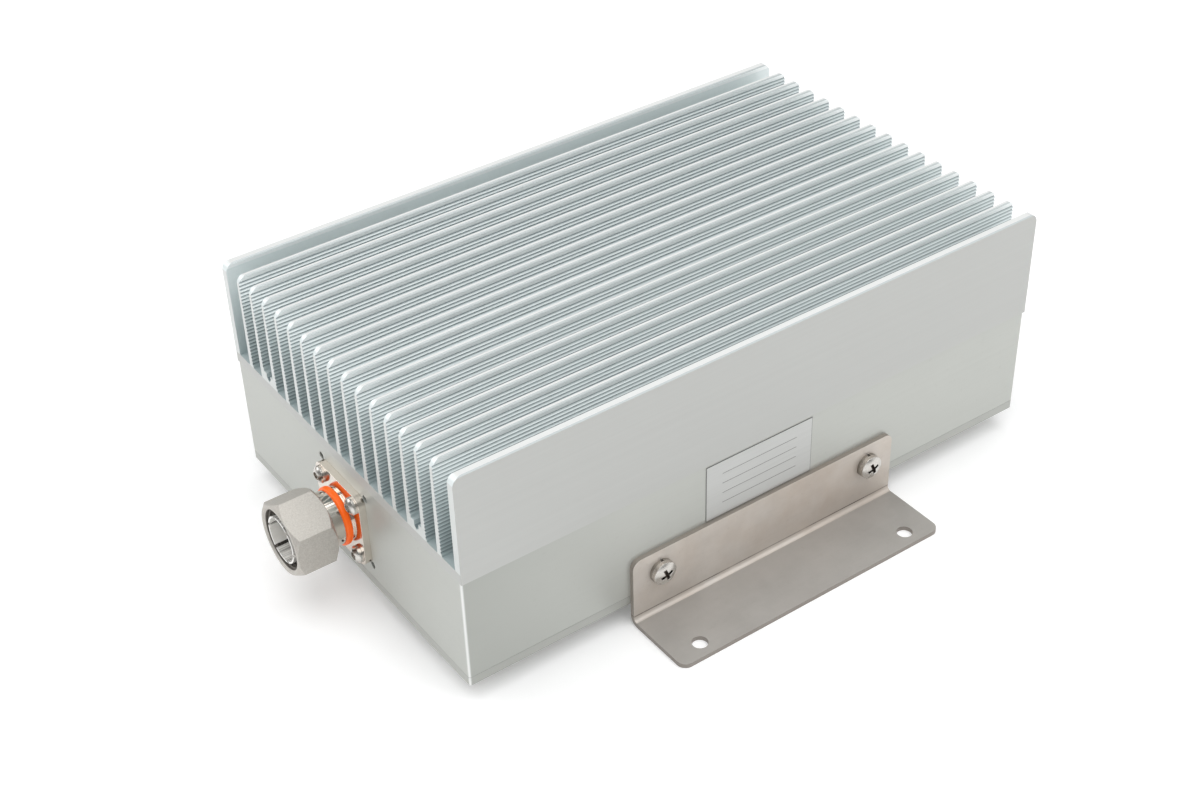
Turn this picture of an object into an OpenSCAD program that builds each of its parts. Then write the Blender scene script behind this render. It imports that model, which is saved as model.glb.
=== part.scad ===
// RF dummy load: a coaxial termination in a box under a finned heat sink, with a
// screw-on plug at one end and an angle bracket along each long side.
// The fins run along X, the plug points to -X and the label side faces -Y.
// The origin is the middle of the four foot holes, on the surface the feet stand on.

/* [Heat sink] */
// Length along the fins
sink_l = 211; // [196:1:260]
// Width across the fins
sink_w = 130; // [124:1:150]
// Thickness of the base under the fins
base_t = 3.6; // [3.4:0.1:8]
// Height of the fins above the base
fin_h = 32.9; // [20:0.1:45]
// Number of toothed fins between the two plain outer ones
fin_count = 15; // [9:1:17]
// Thickness of a toothed fin at its root
fin_root_t = 2.4; // [2:0.1:2.8]
// Thickness of a toothed fin at its tip
fin_tip_t = 1.6; // [1.3:0.1:1.9]
// Thickness of each plain outer fin
outer_fin_t = 2.7; // [2:0.1:4]
// Free width between an outer fin and the root of the next fin
outer_gap = 6.6; // [4:0.1:8]
// Spacing of the teeth down the side of a fin
tooth_pitch = 1.22; // [1:0.01:2]
// Depth of the grooves between the teeth
tooth_depth = 0.6; // [0.2:0.05:0.7]
// Plain strip between a fin's tip and its first tooth
tooth_top = 1.6; // [1:0.1:6]
// Plain strip between the last tooth and the channel floor
tooth_foot = 0.6; // [0.2:0.1:3]
// Chamfer along both edges of every fin's tip
tip_chamfer = 0.4; // [0.1:0.05:0.5]
// Rounding of the fins' end corners
fin_corner_r = 3; // [0.5:0.5:8]
// Height of the rib in the third channel from each side
rib_h = 3.5; // [2:0.1:6]
// Width of the screw slot along that rib
slot_w = 2.4; // [1:0.1:3]
// Depth of that slot down to its V-shaped bottom
slot_d = 2.6; // [1.5:0.1:3]

/* [Housing] */
// Step from the heat sink's long sides in to the housing, which is flush at the ends
overhang = 0.4; // [0.1:0.1:1.5]
// Height of the housing between cover and heat sink
housing_h = 34.9; // [34:0.1:50]
// Thickness of the housing walls
wall_t = 8; // [7.5:0.1:10]
// Rounding of the housing's upright edges
housing_r = 0.8; // [0.3:0.1:2]
// Thickness of the base cover
cover_t = 3; // [2:0.1:5]
// Diameter of the screw posts inside the housing
post_d = 14; // [12:0.5:16]
// Distance of the post screws from the housing's outer faces
post_in = 8.6; // [8:0.1:10]
// Spacing of the cover screws along the long sides
cover_pitch = 48; // [46:1:54]
// Distance of the end cover screws from the middle
cover_end_y = 30; // [22:1:40]

/* [Plug] */
// Height of the plug's axis above the housing's lower edge
port_up = 17.6; // [17:0.1:19.5]
// Side of the square flange
flange_w = 25.4; // [24:0.1:28]
// Thickness of the flange
flange_t = 2.3; // [1.5:0.1:2.6]
// Rounding of the flange's corners
flange_r = 3.2; // [1:0.1:3.5]
// Spacing of the flange screws
flange_pitch = 18.3; // [17:0.1:19]
// Spacing of the spare tapped holes for a larger flange
spare_pitch = 25.2; // [25:0.1:28]
// Diameter of the spare tapped holes
spare_d = 2.5; // [2:0.1:3]
// Diameter of the neck the nut runs on
neck_d = 17.2; // [16.8:0.1:17.6]
// Length of the neck from the wall to its front face
neck_l = 13.5; // [13.3:0.1:16]
// Thickness of the weather seal ring
seal_d = 1.7; // [1.4:0.1:2]
// Width of the weather seal ring along the neck
seal_w = 2.4; // [2.2:0.1:2.8]
// Distance of the weather seal from the wall
seal_at = 4.1; // [4.1:0.1:6]
// Outer diameter of the contact sleeve
sleeve_d = 15; // [14:0.1:15.2]
// Wall of the contact sleeve
sleeve_t = 0.6; // [0.4:0.1:1]
// Reach of the contact sleeve from the wall
sleeve_reach = 22; // [20:0.1:24]
// Number of spring slots in the sleeve
sleeve_slots = 6; // [4:1:8]
// Width of a spring slot
sleeve_slot_w = 1; // [0.6:0.1:1.6]
// Bore of the coaxial line behind the sleeve
line_d = 10; // [9:0.1:11]
// Diameter of the centre conductor
pin_d = 4.3; // [3:0.1:5]
// Diameter of the pin at its tip
tip_d = 1.8; // [1:0.1:2.4]
// Reach of the pin's tip from the wall
pin_reach = 16.6; // [15:0.1:20]

/* [Coupling nut] */
// Hexagon across flats
nut_af = 22; // [21.6:0.1:26]
// Length of the nut
nut_l = 13.2; // [12:0.1:15]
// Distance of the nut from the wall
nut_at = 9.1; // [8.8:0.1:9.6]
// Bore of the threaded mouth
nut_bore_d = 19; // [18.8:0.1:20]
// Length of the lip that runs on the neck
nut_lip = 2.5; // [2:0.1:2.6]
// Height of the end chamfers along the axis
nut_chamfer = 1.5; // [0.8:0.1:2]

/* [Brackets] */
// Length of each bracket
bracket_l = 100; // [90:1:130]
// Thickness of the bracket sheet
bracket_t = 1.5; // [1:0.1:2.5]
// Inside radius of the bend
bend_r = 1.5; // [1:0.1:3]
// Rounding of the free corners
bracket_r = 3; // [1:0.5:6]
// Gap between the base cover and the surface below
stand_gap = 7.6; // [6:0.1:20]
// Height of the bracket above the base cover's underside
bracket_up = 16.4; // [15:0.1:26]
// Reach of the foot out from the housing
foot_out = 25.2; // [24:0.1:40]
// Distance of the foot holes from the housing
foot_hole_out = 20; // [12:0.1:21]
// Spacing of the foot holes along the bracket
foot_hole_pitch = 80; // [60:1:86]
// Diameter of the foot holes
foot_hole_d = 5; // [3:0.1:6]
// Spacing of the bracket screws
bracket_screw_pitch = 80; // [60:1:82]
// Height of the bracket screws above the cover's underside
bracket_screw_up = 8.8; // [8.6:0.1:11]

/* [Label] */
// Width of the label
label_w = 40; // [20:1:60]
// Thickness of the label
label_t = 0.2; // [0.1:0.05:0.4]
// Distance of the label from the bracket's edge
label_gap = 0.3; // [0.2:0.1:3]
// Distance of the label from the joint under the heat sink
label_top_gap = 1; // [0.3:0.1:4]
// Shift of the label from the middle, towards the plug
label_shift = 2.4; // [0:0.1:15]

/* [Load inside] */
// Diameter of the lossy cable
cable_d = 6.35; // [5:0.05:6.6]
// Spacing of the coil's turns
coil_pitch = 7; // [6.8:0.1:7.4]
// Turns of the coil
coil_turns = 4; // [2:1:4]
// Radius of the coil's first bend
coil_r = 10; // [9.5:0.1:11]
// Length of the coil's straight runs
coil_l = 80; // [70:1:90]
// Radius of the bends that lift the cable up to the coil
lift_r = 18; // [16:0.5:22]
// Width of a clamp bar
clamp_w = 8; // [7:0.5:12]
// Thickness of a clamp bar
clamp_t = 4; // [2:0.1:5]
// Distance between the two clamp bars
clamp_gap = 50; // [44:1:60]
// Side of the resistor's ceramic block
resistor_w = 10; // [8:0.5:12]

/* [Hidden] */
$fn = 64;
// Radial clearance of screws in tapped holes, through holes and head wells, of the bracket's
// screws, of pressed pieces, and of the nut on its neck
screw_gap = 0.05;
clear_gap = 0.1;
head_gap = 0.2;
bracket_gap = 0.25;
press_gap = 0.02;
run_gap = 0.08;
// Cuts reach this far past the face they open
past = 1;

// Screws, by thread diameter, head diameter and head height
m3_d = 3;
m4_d = 4;
socket_head_d = 5.5;
socket_head_h = 2.3;
socket_crown_r = 3.6;
socket_af = 2.5;
socket_depth = 1.3;
pan_head_d = 7.8;
pan_head_h = 2.4;
pan_crown_r = 7.8;
clamp_head_d = 7;
cap_head_d = 7;
cap_head_h = 4;
cap_af = 3;
cap_depth = 2;
flat_head_d = 5.8;
flat_head_h = 1.7;
cross_l = 4.2;
cross_w = 1.1;
cross_depth = 1.6;
cross_turn = 20;
wall_screw_l = 5.5;
cover_screw_l = 7;
bracket_screw_l = 6;
tap_spare = 0.5;
base_skin = 0.6;
base_screw_l = base_t - base_skin;
seat_l = 12;
washer_d = 8;
washer_t = 0.9;
washer_slit = 0.8;

// Levels, from the surface up
cover_z = stand_gap;
housing_z = cover_z + cover_t;
joint_z = housing_z + housing_h;
port_z = housing_z + port_up;

// Plan of the housing
housing_l = sink_l;
housing_w = sink_w - 2 * overhang;
port_x = -housing_l / 2;
post_x = housing_l / 2 - post_in;
post_y = housing_w / 2 - post_in;
post_points = [for (x = [-post_x, 0, post_x], y = [-post_y, post_y]) [x, y]];
cover_edge_x = housing_l / 2 - wall_t / 2;
cover_edge_y = housing_w / 2 - wall_t / 2;
cover_points = concat(
    [for (k = [-1.5, -0.5, 0.5, 1.5], y = [-cover_edge_y, cover_edge_y]) [k * cover_pitch, y]],
    [for (x = [-cover_edge_x, cover_edge_x], y = [-cover_end_y, cover_end_y]) [x, y]]);

// Fins: centres across the heat sink, side faces and channel floors
fin_first = -sink_w / 2 + outer_fin_t + outer_gap + fin_root_t / 2;
fin_pitch = -2 * fin_first / (fin_count - 1);
sink_top = base_t + fin_h;
rib_channels = [2, fin_count - 2];
function fin_y(i) = fin_first + i * fin_pitch;
function fin_half(z) = (fin_root_t - (fin_root_t - fin_tip_t) * (z - base_t) / fin_h) / 2;
function has_rib(c) = len(search(c, rib_channels)) > 0;
function floor_z(c) = base_t + (has_rib(c) ? rib_h : 0);

// Plug, measured outwards from the wall
spigot_d = 13;
spigot_in = 16;
cable_in = 9;
line_in = cable_in - 1;
seal_sink = 1;
seal_r = neck_d / 2 + seal_d / 2 - seal_sink;
bead_from = -4;
bead_to = 2;
sleeve_from = 6;
pin_step = 12;
pin_cone = 1.1;
ring_t = 0.9;
ring_reach = 0.5;
ring_groove = ring_t + 0.1;
ring_slack = 0.3;
ring_at = nut_at + nut_lip + ring_slack;
ring_open = 30;
gasket_d = 1;
gasket_r = 8.8;
gasket_groove_w = 1.6;
nut_mouth = 0.6;
nut_face_in = 0.1;
sleeve_turn = 20;
sleeve_slot_l = 8;

// Load inside: levels and the ends of the coil
cable_gap = 0.05;
coil_z = joint_z - cable_d / 2 - cable_gap;
clamp_z = coil_z - cable_d / 2 - cable_gap - clamp_t;
lift_angle = acos(1 - (coil_z - port_z) / (2 * lift_r));
lift_l = 2 * lift_r * sin(lift_angle);
lift_x = -coil_l / 4;
splice_l = 6;
splice_t = 0.6;
splice_gap = 1;
wire_d = 1.6;
wire_l = 2;
resistor_x = coil_l / 2 + coil_r + (coil_turns - 0.5) * coil_pitch;
resistor_y = -coil_turns * coil_pitch;
resistor_t = 3;
resistor_plate_t = 2;
resistor_plate_l = 24;
resistor_hole = 9;
cable_end = resistor_x - resistor_w / 2 - wire_l;
clamp_over = 6.5;
clamp_edge = 4;
clamp_low = resistor_y - clamp_over;
clamp_high = 2 * coil_r + (coil_turns - 1) * coil_pitch + clamp_over;
clamp_points = [for (x = [-clamp_gap / 2, clamp_gap / 2], y = [clamp_low, coil_r, clamp_high]) [x, y]];
resistor_points = [for (s = [-1, 1]) [resistor_x, resistor_y + s * resistor_hole]];

aluminium = [0.80, 0.82, 0.82];
steel = [0.70, 0.68, 0.66];
nickel = [0.84, 0.83, 0.80];

// Shared shapes

module rounded_rect(l, w, r) {
    square([l, w - 2 * r], center = true);
    square([l - 2 * r, w], center = true);
    for (x = [-1, 1], y = [-1, 1])
        translate([x * (l / 2 - r), y * (w / 2 - r)]) circle(r);
}

module at_points(points) {
    for (p = points) translate(p) children();
}

// Four places at the corners of a square
module at_square(pitch) {
    for (x = [-1, 1], y = [-1, 1]) translate([x * pitch / 2, y * pitch / 2]) children();
}

// Local Z points out of the wall along the plug's axis, local X points up
module on_port() {
    translate([port_x, 0, port_z]) rotate([0, -90, 0]) children();
}

// The front of the housing for side -1, the rear for side 1: local Z points outwards
module on_side(side) {
    translate([0, side * housing_w / 2, 0]) rotate([side > 0 ? -90 : 90, 0, 0]) children();
}

// Places of one bracket's screws on the housing
module at_bracket_screws(side) {
    for (s = [-1, 1])
        on_side(side)
            translate([s * bracket_screw_pitch / 2, side * -(cover_z + bracket_screw_up), 0]) children();
}

// Head with a rounded crown, standing on Z = 0
module dome_head(d, h, crown_r) {
    intersection() {
        cylinder(d = d, h = h);
        translate([0, 0, h - crown_r]) sphere(crown_r);
    }
}

module cross_recess(top) {
    for (a = [0, 90])
        rotate(a + cross_turn)
            translate([-cross_l / 2, -cross_w / 2, top - cross_depth])
                cube([cross_l, cross_w, cross_depth + past]);
}

// Domed cross-recess screw: the head stands on Z = 0, the shank points down
module pan_screw(d, l, head_d) {
    difference() {
        dome_head(head_d, pan_head_h, pan_crown_r);
        cross_recess(pan_head_h);
    }
    translate([0, 0, -l]) cylinder(d = d, h = l);
}

// Round-headed screw with a hexagon socket
module socket_screw(d, l) {
    difference() {
        dome_head(socket_head_d, socket_head_h, socket_crown_r);
        translate([0, 0, socket_head_h - socket_depth])
            cylinder(d = socket_af / cos(30), h = socket_depth + past, $fn = 6);
    }
    translate([0, 0, -l]) cylinder(d = d, h = l);
}

// Heat sink

// One toothed side, from the tip down to the floor of channel i
function toothed_side(i) =
    let (z0 = sink_top - tooth_top,
         count = floor((z0 - floor_z(i) - tooth_foot) / tooth_pitch))
    [for (k = [0 : 2 * count])
        let (z = z0 - k * tooth_pitch / 2)
        [fin_y(i) - fin_half(z) + (k % 2 == 1 ? tooth_depth : 0), z]];

// Tip of a fin, from its right side over to its left side
function tip_outline(right, left) = [
    [right, sink_top - tip_chamfer], [right - tip_chamfer, sink_top],
    [left + tip_chamfer, sink_top], [left, sink_top - tip_chamfer]];

function fin_outline(i) = concat(
    [[fin_y(i) + fin_half(floor_z(i + 1)), floor_z(i + 1)]],
    tip_outline(fin_y(i) + fin_half(sink_top), fin_y(i) - fin_half(sink_top)),
    toothed_side(i),
    [[fin_y(i) - fin_half(floor_z(i)), floor_z(i)]]);

// Slot in the rib of channel c, or nothing where the channel is plain
function slot_outline(c) =
    let (y = (fin_y(c - 1) + fin_y(c)) / 2, z = floor_z(c), z_side = z - slot_d + slot_w / 2)
    has_rib(c) ? [[y + slot_w / 2, z], [y + slot_w / 2, z_side], [y, z - slot_d],
                  [y - slot_w / 2, z_side], [y - slot_w / 2, z]] : [];

sink_outline = concat(
    [[-sink_w / 2, 0], [sink_w / 2, 0]],
    tip_outline(sink_w / 2, sink_w / 2 - outer_fin_t),
    [[sink_w / 2 - outer_fin_t, base_t]],
    [for (i = [fin_count - 1 : -1 : 0], p = concat(fin_outline(i), slot_outline(i))) p],
    [[-sink_w / 2 + outer_fin_t, base_t]],
    tip_outline(-sink_w / 2 + outer_fin_t, -sink_w / 2));

// Side view of the heat sink, with its upper corners rounded
module sink_side_view() {
    translate([-sink_l / 2, 0]) square([sink_l, sink_top - fin_corner_r]);
    translate([-sink_l / 2 + fin_corner_r, 0]) square([sink_l - 2 * fin_corner_r, sink_top]);
    for (s = [-1, 1])
        translate([s * (sink_l / 2 - fin_corner_r), sink_top - fin_corner_r]) circle(fin_corner_r);
}

module tapped_in_base(points, d) {
    at_points(points) translate([0, 0, -past]) cylinder(d = d + 2 * screw_gap, h = base_screw_l + past);
}

module heat_sink() {
    color(aluminium) translate([0, 0, joint_z]) difference() {
        intersection() {
            translate([-sink_l / 2, 0, 0]) rotate([90, 0, 90]) linear_extrude(sink_l) polygon(sink_outline);
            translate([0, sink_w / 2 + past, 0]) rotate([90, 0, 0])
                linear_extrude(sink_w + 2 * past) sink_side_view();
        }
        tapped_in_base(post_points, m4_d);
        tapped_in_base(clamp_points, m4_d);
        tapped_in_base(resistor_points, m3_d);
    }
}

// Housing and cover

module housing_wall_holes() {
    on_port() {
        translate([0, 0, -wall_t - past]) cylinder(d = spigot_d + 2 * screw_gap, h = wall_t + 2 * past);
        at_square(flange_pitch)
            translate([0, 0, -wall_screw_l - tap_spare])
                cylinder(d = m3_d + 2 * screw_gap, h = wall_screw_l + tap_spare + past);
        at_square(spare_pitch)
            translate([0, 0, -wall_screw_l]) cylinder(d = spare_d, h = wall_screw_l + past);
        translate([0, 0, -gasket_d]) difference() {
            cylinder(r = gasket_r + gasket_groove_w / 2, h = gasket_d + past);
            translate([0, 0, -past]) cylinder(r = gasket_r - gasket_groove_w / 2, h = gasket_d + 3 * past);
        }
    }
    for (side = [-1, 1])
        at_bracket_screws(side)
            translate([0, 0, -bracket_screw_l - tap_spare])
                cylinder(d = m4_d + 2 * screw_gap, h = bracket_screw_l + tap_spare + past);
}

module housing() {
    color(aluminium) difference() {
        union() {
            translate([0, 0, housing_z]) linear_extrude(housing_h) difference() {
                rounded_rect(housing_l, housing_w, housing_r);
                square([housing_l - 2 * wall_t, housing_w - 2 * wall_t], center = true);
            }
            at_points(post_points) translate([0, 0, housing_z]) cylinder(d = post_d, h = housing_h);
        }
        housing_wall_holes();
        at_points(post_points) {
            translate([0, 0, housing_z - past]) cylinder(d = m4_d + 2 * clear_gap, h = housing_h + 2 * past);
            translate([0, 0, housing_z - past])
                cylinder(d = cap_head_d + 2 * head_gap, h = housing_h - seat_l + past);
        }
        at_points(cover_points)
            translate([0, 0, housing_z - past])
                cylinder(d = m3_d + 2 * screw_gap, h = cover_screw_l - cover_t + tap_spare + past);
    }
}

// Countersunk head with its rim on Z = 0 and its cone pointing up
module flat_head(d, grow) {
    cylinder(d1 = flat_head_d + 2 * grow, d2 = d + 2 * grow, h = flat_head_h);
}

module base_cover() {
    color(aluminium) difference() {
        translate([0, 0, cover_z]) linear_extrude(cover_t) rounded_rect(housing_l, housing_w, housing_r);
        at_points(cover_points) translate([0, 0, cover_z]) {
            flat_head(m3_d, screw_gap);
            translate([0, 0, -past]) cylinder(d = m3_d + 2 * screw_gap, h = cover_t + 2 * past);
        }
    }
}

module cover_screws() {
    color(steel) at_points(cover_points) translate([0, 0, cover_z]) difference() {
        union() {
            flat_head(m3_d, 0);
            cylinder(d = m3_d, h = cover_screw_l);
        }
        mirror([0, 0, 1]) cross_recess(0);
    }
}

module heat_sink_screws() {
    color(steel) at_points(post_points) translate([0, 0, joint_z - seat_l]) {
        cylinder(d = m4_d, h = seat_l + base_screw_l - screw_gap);
        translate([0, 0, -cap_head_h]) difference() {
            cylinder(d = cap_head_d, h = cap_head_h);
            translate([0, 0, -past]) cylinder(d = cap_af / cos(30), h = cap_depth + past, $fn = 6);
        }
    }
}

// Plug

module connector_body() {
    neck_r = neck_d / 2;
    groove_r = neck_r - ring_reach;
    color(nickel) on_port() {
        rotate_extrude() polygon([
            [cable_d / 2 + screw_gap, -spigot_in], [spigot_d / 2, -spigot_in], [spigot_d / 2, 0],
            [neck_r, 0],
            [neck_r, seal_at - seal_w / 2], [seal_r - seal_d / 2, seal_at - seal_w / 2],
            [seal_r - seal_d / 2, seal_at + seal_w / 2], [neck_r, seal_at + seal_w / 2],
            [neck_r, ring_at], [groove_r, ring_at], [groove_r, ring_at + ring_groove],
            [neck_r, ring_at + ring_groove], [neck_r, neck_l],
            [sleeve_d / 2 + press_gap, neck_l], [sleeve_d / 2 + press_gap, sleeve_from],
            [line_d / 2, sleeve_from], [line_d / 2, -line_in], [cable_d / 2 + screw_gap, -line_in]]);
        difference() {
            linear_extrude(flange_t) rounded_rect(flange_w, flange_w, flange_r);
            translate([0, 0, -past]) cylinder(d = spigot_d, h = flange_t + 2 * past);
            at_square(flange_pitch)
                translate([0, 0, -past]) cylinder(d = m3_d + 2 * clear_gap, h = flange_t + 2 * past);
        }
    }
}

module contact_sleeve() {
    color(nickel) on_port() difference() {
        translate([0, 0, sleeve_from]) cylinder(d = sleeve_d, h = sleeve_reach - sleeve_from);
        translate([0, 0, sleeve_from - past])
            cylinder(d = sleeve_d - 2 * sleeve_t, h = sleeve_reach - sleeve_from + 2 * past);
        for (k = [0 : sleeve_slots - 1])
            rotate(sleeve_turn + k * 360 / sleeve_slots)
                translate([sleeve_d / 4, -sleeve_slot_w / 2, sleeve_reach - sleeve_slot_l])
                    cube([sleeve_d / 2, sleeve_slot_w, sleeve_slot_l + past]);
    }
}

module insulator() {
    color("white") on_port() translate([0, 0, bead_from]) difference() {
        cylinder(d = line_d - 2 * press_gap, h = bead_to - bead_from);
        translate([0, 0, -past]) cylinder(d = pin_d + 2 * press_gap, h = bead_to - bead_from + 2 * past);
    }
}

module centre_pin() {
    tip_r = tip_d / 2;
    color(nickel) on_port() {
        rotate_extrude() polygon([
            [0, -cable_in + press_gap], [pin_d / 2, -cable_in + press_gap], [pin_d / 2, pin_step - pin_cone],
            [tip_r, pin_step], [tip_r, pin_reach - tip_r], [0, pin_reach - tip_r]]);
        translate([0, 0, pin_reach - tip_r]) sphere(tip_r);
    }
}

module weather_seal() {
    flat_w = seal_w - seal_d;
    color([1.0, 0.37, 0.02]) on_port()
        translate([0, 0, seal_at]) rotate_extrude() translate([seal_r, 0]) {
            square([seal_d - 2 * press_gap, flat_w], center = true);
            for (s = [-1, 1]) translate([0, s * flat_w / 2]) circle(d = seal_d - 2 * press_gap);
        }
}

module flange_gasket() {
    color("dimgray") on_port()
        translate([0, 0, -gasket_d / 2])
            rotate_extrude() translate([gasket_r, 0]) circle(d = gasket_d - 2 * press_gap);
}

module flange_screws() {
    color(steel) on_port()
        at_square(flange_pitch) translate([0, 0, flange_t]) socket_screw(m3_d, wall_screw_l + flange_t);
}

module nut_retaining_ring() {
    color(steel) on_port()
        translate([0, 0, ring_at + (ring_groove - ring_t) / 2])
            rotate_extrude(angle = 360 - ring_open)
                translate([neck_d / 2 - ring_reach + press_gap, 0]) square([2 * ring_reach, ring_t]);
}

module coupling_nut() {
    corner_r = nut_af / 2 / cos(30);
    bore_r = nut_bore_d / 2;
    color(nickel) on_port() translate([0, 0, nut_at]) difference() {
        intersection() {
            cylinder(r = corner_r, h = nut_l, $fn = 6);
            rotate_extrude() polygon([
                [0, 0], [nut_af / 2 - nut_face_in, 0], [corner_r, nut_chamfer],
                [corner_r, nut_l - nut_chamfer], [nut_af / 2 - nut_face_in, nut_l], [0, nut_l]]);
        }
        rotate_extrude() polygon([
            [0, -past], [neck_d / 2 + run_gap, -past], [neck_d / 2 + run_gap, nut_lip], [bore_r, nut_lip],
            [bore_r, nut_l - nut_mouth], [bore_r + nut_mouth, nut_l], [bore_r + nut_mouth, nut_l + past],
            [0, nut_l + past]]);
    }
}

// Brackets

// Section of the angle across X: the leg stands on the housing, the foot points outwards
module bracket_sheet() {
    leg_h = stand_gap + bracket_up;
    outer_r = bend_r + bracket_t;
    translate([-bracket_l / 2, 0, 0]) rotate([90, 0, 90]) {
        translate([0, outer_r, 0]) cube([bracket_t, leg_h - outer_r, bracket_l]);
        translate([outer_r, 0, 0]) cube([foot_out - outer_r, bracket_t, bracket_l]);
        translate([outer_r, outer_r, 0]) rotate(180)
            rotate_extrude(angle = 90) translate([bend_r, 0]) square([bracket_t, bracket_l]);
    }
}

// Corner block with its round inner side towards the plate, cut from the plate's corner
module corner_cut(h) {
    difference() {
        cube([bracket_r + past, bracket_r + past, h]);
        translate([0, 0, -past]) cylinder(r = bracket_r, h = h + 2 * past);
    }
}

// Bracket of one side, built outwards along +Y and then turned
module bracket(side) {
    leg_top = stand_gap + bracket_up;
    color(steel) mirror([0, side > 0 ? 0 : 1, 0]) translate([0, housing_w / 2, 0]) difference() {
        bracket_sheet();
        for (s = [0, 1]) mirror([s, 0, 0]) {
            translate([bracket_l / 2 - bracket_r, foot_out - bracket_r, -past])
                corner_cut(bracket_t + 2 * past);
            translate([bracket_l / 2 - bracket_r, bracket_t + past, leg_top - bracket_r])
                rotate([90, 0, 0]) corner_cut(bracket_t + 2 * past);
            translate([foot_hole_pitch / 2, foot_hole_out, -past])
                cylinder(d = foot_hole_d, h = bracket_t + 2 * past);
            translate([bracket_screw_pitch / 2, -past, cover_z + bracket_screw_up])
                rotate([-90, 0, 0]) cylinder(d = m4_d + 2 * bracket_gap, h = bracket_t + 2 * past);
        }
    }
}

module bracket_washers(side) {
    color(steel) at_bracket_screws(side) translate([0, 0, bracket_t]) difference() {
        cylinder(d = washer_d, h = washer_t);
        translate([0, 0, -past]) cylinder(d = m4_d + 2 * clear_gap, h = washer_t + 2 * past);
        translate([-washer_slit / 2, 0, -past]) cube([washer_slit, washer_d, washer_t + 2 * past]);
    }
}

module bracket_screws(side) {
    color(steel) at_bracket_screws(side)
        translate([0, 0, bracket_t + washer_t])
            pan_screw(m4_d, bracket_t + washer_t + bracket_screw_l, pan_head_d);
}

module front_bracket() { bracket(-1); }
module rear_bracket() { bracket(1); }
module front_bracket_screws() { bracket_screws(-1); }
module rear_bracket_screws() { bracket_screws(1); }
module front_bracket_washers() { bracket_washers(-1); }
module rear_bracket_washers() { bracket_washers(1); }

module rating_label() {
    low = cover_z + bracket_up + label_gap;
    color([0.86, 0.87, 0.87])
        translate([-label_w / 2 - label_shift, -housing_w / 2 - label_t, low])
            cube([label_w, label_t, joint_z - label_top_gap - low]);
}

// Load inside

module cable_run(x0, x1, y, z) {
    translate([x0, y, z]) rotate([0, 90, 0]) cylinder(d = cable_d, h = x1 - x0);
}

module cable_bend(r, angle) {
    rotate_extrude(angle = angle) translate([r, 0]) circle(d = cable_d);
}

// The plug's lead rises to the heat sink, where a splice joins it to the flat coil
module load_cable() {
    half = coil_l / 2;
    last = coil_turns - 1;
    color([0.72, 0.45, 0.25]) {
        cable_run(port_x + cable_in, lift_x, 0, port_z);
        translate([lift_x, 0, port_z + lift_r]) rotate([90, 0, 0]) rotate(-90)
            cable_bend(lift_r, lift_angle - splice_gap);
        translate([lift_x + lift_l / 2, 0, (port_z + coil_z) / 2]) rotate([0, 90 - lift_angle, 0])
            cylinder(d = cable_d + 2 * splice_t, h = splice_l, center = true);
        translate([lift_x + lift_l, 0, coil_z - lift_r]) rotate([90, 0, 0]) rotate(90)
            cable_bend(lift_r, lift_angle - splice_gap);
        cable_run(lift_x + lift_l, half, 0, coil_z);
        for (k = [0 : last]) {
            translate([half, coil_r, coil_z]) rotate(-90) cable_bend(coil_r + k * coil_pitch, 180);
            cable_run(-half, half, 2 * coil_r + k * coil_pitch, coil_z);
            translate([-half, coil_r - coil_pitch / 2, coil_z]) rotate(90)
                cable_bend(coil_r + (k + 0.5) * coil_pitch, 180);
            cable_run(-half, k < last ? half : cable_end, -(k + 1) * coil_pitch, coil_z);
        }
        translate([cable_end, resistor_y, coil_z]) rotate([0, 90, 0]) cylinder(d = wire_d, h = wire_l);
    }
}

module cable_clamps() {
    color(aluminium) for (x = [-clamp_gap / 2, clamp_gap / 2])
        difference() {
            translate([x - clamp_w / 2, clamp_low - clamp_edge, clamp_z])
                cube([clamp_w, clamp_high - clamp_low + 2 * clamp_edge, clamp_t]);
            for (y = [clamp_low, coil_r, clamp_high])
                translate([x, y, clamp_z - past]) cylinder(d = m4_d + 2 * clear_gap, h = clamp_t + 2 * past);
        }
}

module clamp_screws() {
    color(steel) at_points(clamp_points)
        translate([0, 0, clamp_z]) mirror([0, 0, 1])
            pan_screw(m4_d, joint_z + base_screw_l - screw_gap - clamp_z, clamp_head_d);
}

module end_resistor() {
    color([0.93, 0.92, 0.88]) translate([resistor_x, resistor_y, joint_z]) difference() {
        union() {
            translate([-resistor_w / 2, -resistor_plate_l / 2, -resistor_plate_t])
                cube([resistor_w, resistor_plate_l, resistor_plate_t]);
            translate([-resistor_w / 2, -resistor_w / 2, -resistor_plate_t - resistor_t])
                cube([resistor_w, resistor_w, resistor_t]);
        }
        for (s = [-1, 1])
            translate([0, s * resistor_hole, -resistor_plate_t - past])
                cylinder(d = m3_d + 2 * clear_gap, h = resistor_plate_t + 2 * past);
    }
}

module resistor_screws() {
    color(steel) at_points(resistor_points)
        translate([0, 0, joint_z - resistor_plate_t]) mirror([0, 0, 1])
            socket_screw(m3_d, resistor_plate_t + base_screw_l - screw_gap);
}

heat_sink();
housing();
base_cover();
heat_sink_screws();
cover_screws();
connector_body();
contact_sleeve();
insulator();
centre_pin();
weather_seal();
flange_gasket();
flange_screws();
nut_retaining_ring();
coupling_nut();
front_bracket();
rear_bracket();
front_bracket_screws();
rear_bracket_screws();
front_bracket_washers();
rear_bracket_washers();
rating_label();
load_cable();
cable_clamps();
clamp_screws();
end_resistor();
resistor_screws();
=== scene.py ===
# %% [markdown]
# A finned load for radio power, dressed in Blender.
# The solids arrive finished: a heat sink over a flat box, a screw-on plug at one end and an
# angle bracket along each long side. They already have their places and sizes, in metres,
# so this lesson adds what solids lack: surfaces, light, a camera and the finest shapes.

# %% Load the solids
import math

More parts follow.
